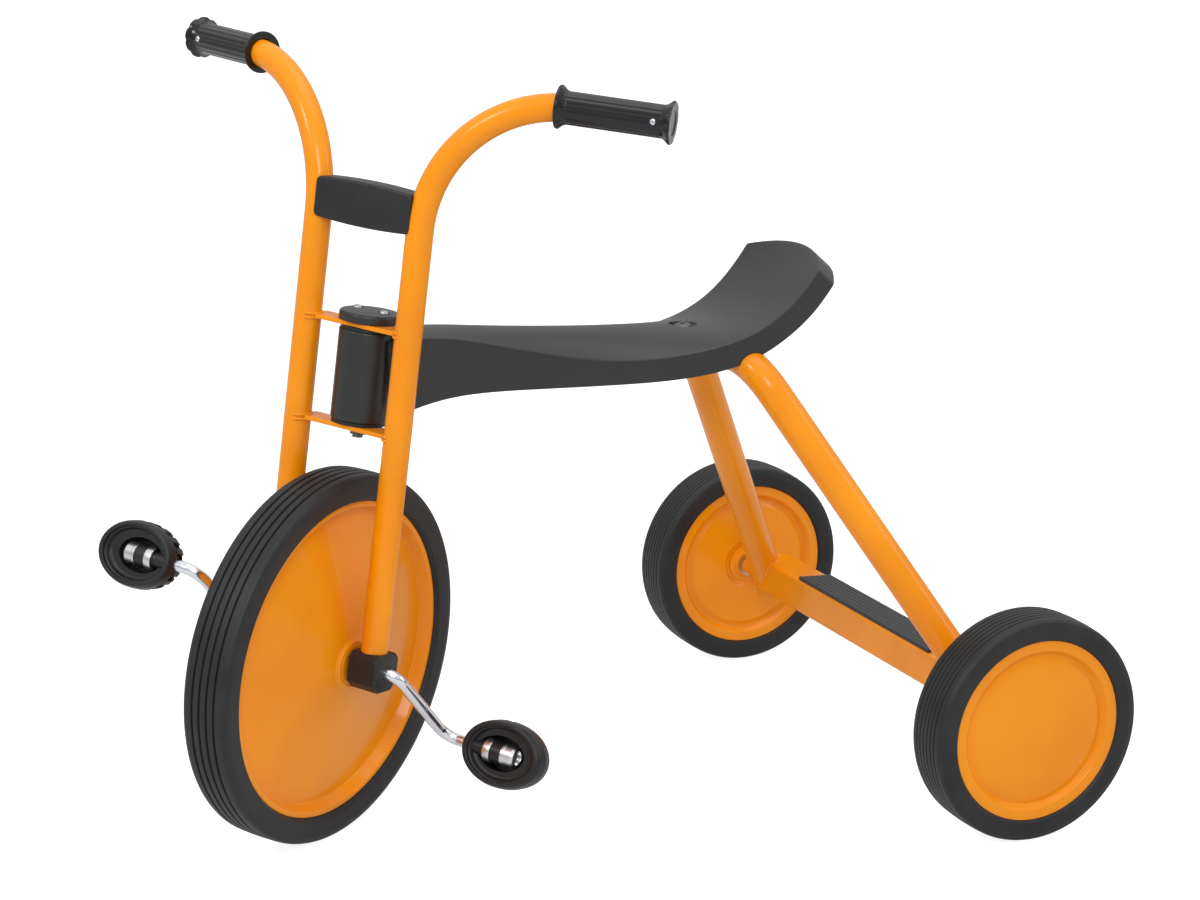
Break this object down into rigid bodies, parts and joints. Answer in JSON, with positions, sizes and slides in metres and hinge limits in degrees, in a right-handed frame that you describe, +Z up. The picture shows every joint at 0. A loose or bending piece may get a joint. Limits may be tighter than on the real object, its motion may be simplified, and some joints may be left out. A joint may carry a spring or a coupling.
{
  "type": "pedal tricycle",
  "caption": "Child's front-pedal tricycle with a bent tube fork and handlebar, a moulded beam seat, solid tyres on disc wheels and a standing step at the back.",
  "frame": {"origin": "on the ground, under the centre of the tricycle's resting bounding box", "axes": "+X forward, +Y to the rider's left, +Z up; the fork stands turned 32.8 degrees to the left at rest"},
  "size_m": [0.8881, 0.6262, 0.7421],
  "materials": {
    "yellow_paint": "glossy powder coat",
    "black_plastic": "satin moulded",
    "seat_plastic": "fine moulded grain",
    "black_rubber": "moulded solid rubber",
    "chrome": "bright plated",
    "steel": "zinc plated",
    "nylon": "natural nylon"
  },
  "bodies": {
    "frame": {"head_tube": "black_plastic", "head_bush_upper": "black_plastic", "head_bush_lower": "black_plastic", "main_tube": "yellow_paint", "rear_hoop": "yellow_paint", "axle_sleeve": "yellow_paint", "crossbar": "yellow_paint", "step_mat": "black_rubber", "seat": "seat_plastic", "seat_bolt": "steel", "rear_axle": "steel", "rear_axle_nut_left": "steel", "rear_axle_nut_right": "steel", "rear_washer_outer_left": "steel", "rear_washer_outer_right": "steel", "rear_washer_inner_left": "steel", "rear_washer_inner_right": "steel"},
    "fork": {"fork_tube_left": "yellow_paint", "fork_tube_right": "yellow_paint", "upper_yoke": "yellow_paint", "lower_yoke": "yellow_paint", "fork_pad": "black_plastic", "grip_left": "black_plastic", "grip_screw_left": "chrome", "grip_right": "black_plastic", "grip_screw_right": "chrome", "axle_block_left": "black_plastic", "axle_block_right": "black_plastic", "steering_bolt": "steel", "steering_nut": "steel", "steering_cap": "black_plastic", "cap_screw_left": "steel", "cap_screw_right": "steel"},
    "front_wheel": {"front_tyre": "black_rubber", "front_disc_left": "yellow_paint", "front_disc_right": "yellow_paint", "front_hub": "yellow_paint", "hub_washer_left": "nylon", "hub_washer_right": "nylon", "crank": "chrome", "pedal_nut_left": "chrome", "pedal_nut_right": "chrome", "pedal_collar_left": "chrome", "pedal_collar_right": "chrome"},
    "left_pedal": {"pedal_left": "black_plastic"},
    "right_pedal": {"pedal_right": "black_plastic"},
    "left_rear_wheel": {"rear_tyre_left": "black_rubber", "rear_cover_left": "yellow_paint", "rear_disc_left": "yellow_paint", "rear_hub_left": "yellow_paint", "rear_bush_inner_left": "nylon", "rear_bush_outer_left": "nylon"},
    "right_rear_wheel": {"rear_tyre_right": "black_rubber", "rear_cover_right": "yellow_paint", "rear_disc_right": "yellow_paint", "rear_hub_right": "yellow_paint", "rear_bush_inner_right": "nylon", "rear_bush_outer_right": "nylon"}
  },
  "joints": [
    {"name": "steering", "type": "hinge", "parent": "frame", "child": "fork", "pos_m": [0.24565, 0, 0.17583], "axis": [-0.1305, 0, 0.9914], "range_deg": [-82.8, 17.2]},
    {"name": "front_wheel_spin", "type": "hinge", "parent": "fork", "child": "front_wheel", "pos_m": [0.26066, 0.00975, 0.17781], "axis": [-0.5371, 0.8406, -0.0707], "continuous": true},
    {"name": "left_pedal_spin", "type": "hinge", "parent": "front_wheel", "child": "left_pedal", "pos_m": [0.13098, 0.08126, 0.08948], "axis": [-0.5371, 0.8406, -0.0707], "continuous": true},
    {"name": "right_pedal_spin", "type": "hinge", "parent": "front_wheel", "child": "right_pedal", "pos_m": [0.39033, -0.06176, 0.26614], "axis": [-0.5371, 0.8406, -0.0707], "continuous": true},
    {"name": "left_rear_wheel_spin", "type": "hinge", "parent": "frame", "child": "left_rear_wheel", "pos_m": [-0.3345, 0.287, 0.10906], "axis": [0, 1, 0], "continuous": true},
    {"name": "right_rear_wheel_spin", "type": "hinge", "parent": "frame", "child": "right_rear_wheel", "pos_m": [-0.3345, -0.287, 0.10906], "axis": [0, 1, 0], "continuous": true}
  ]
}
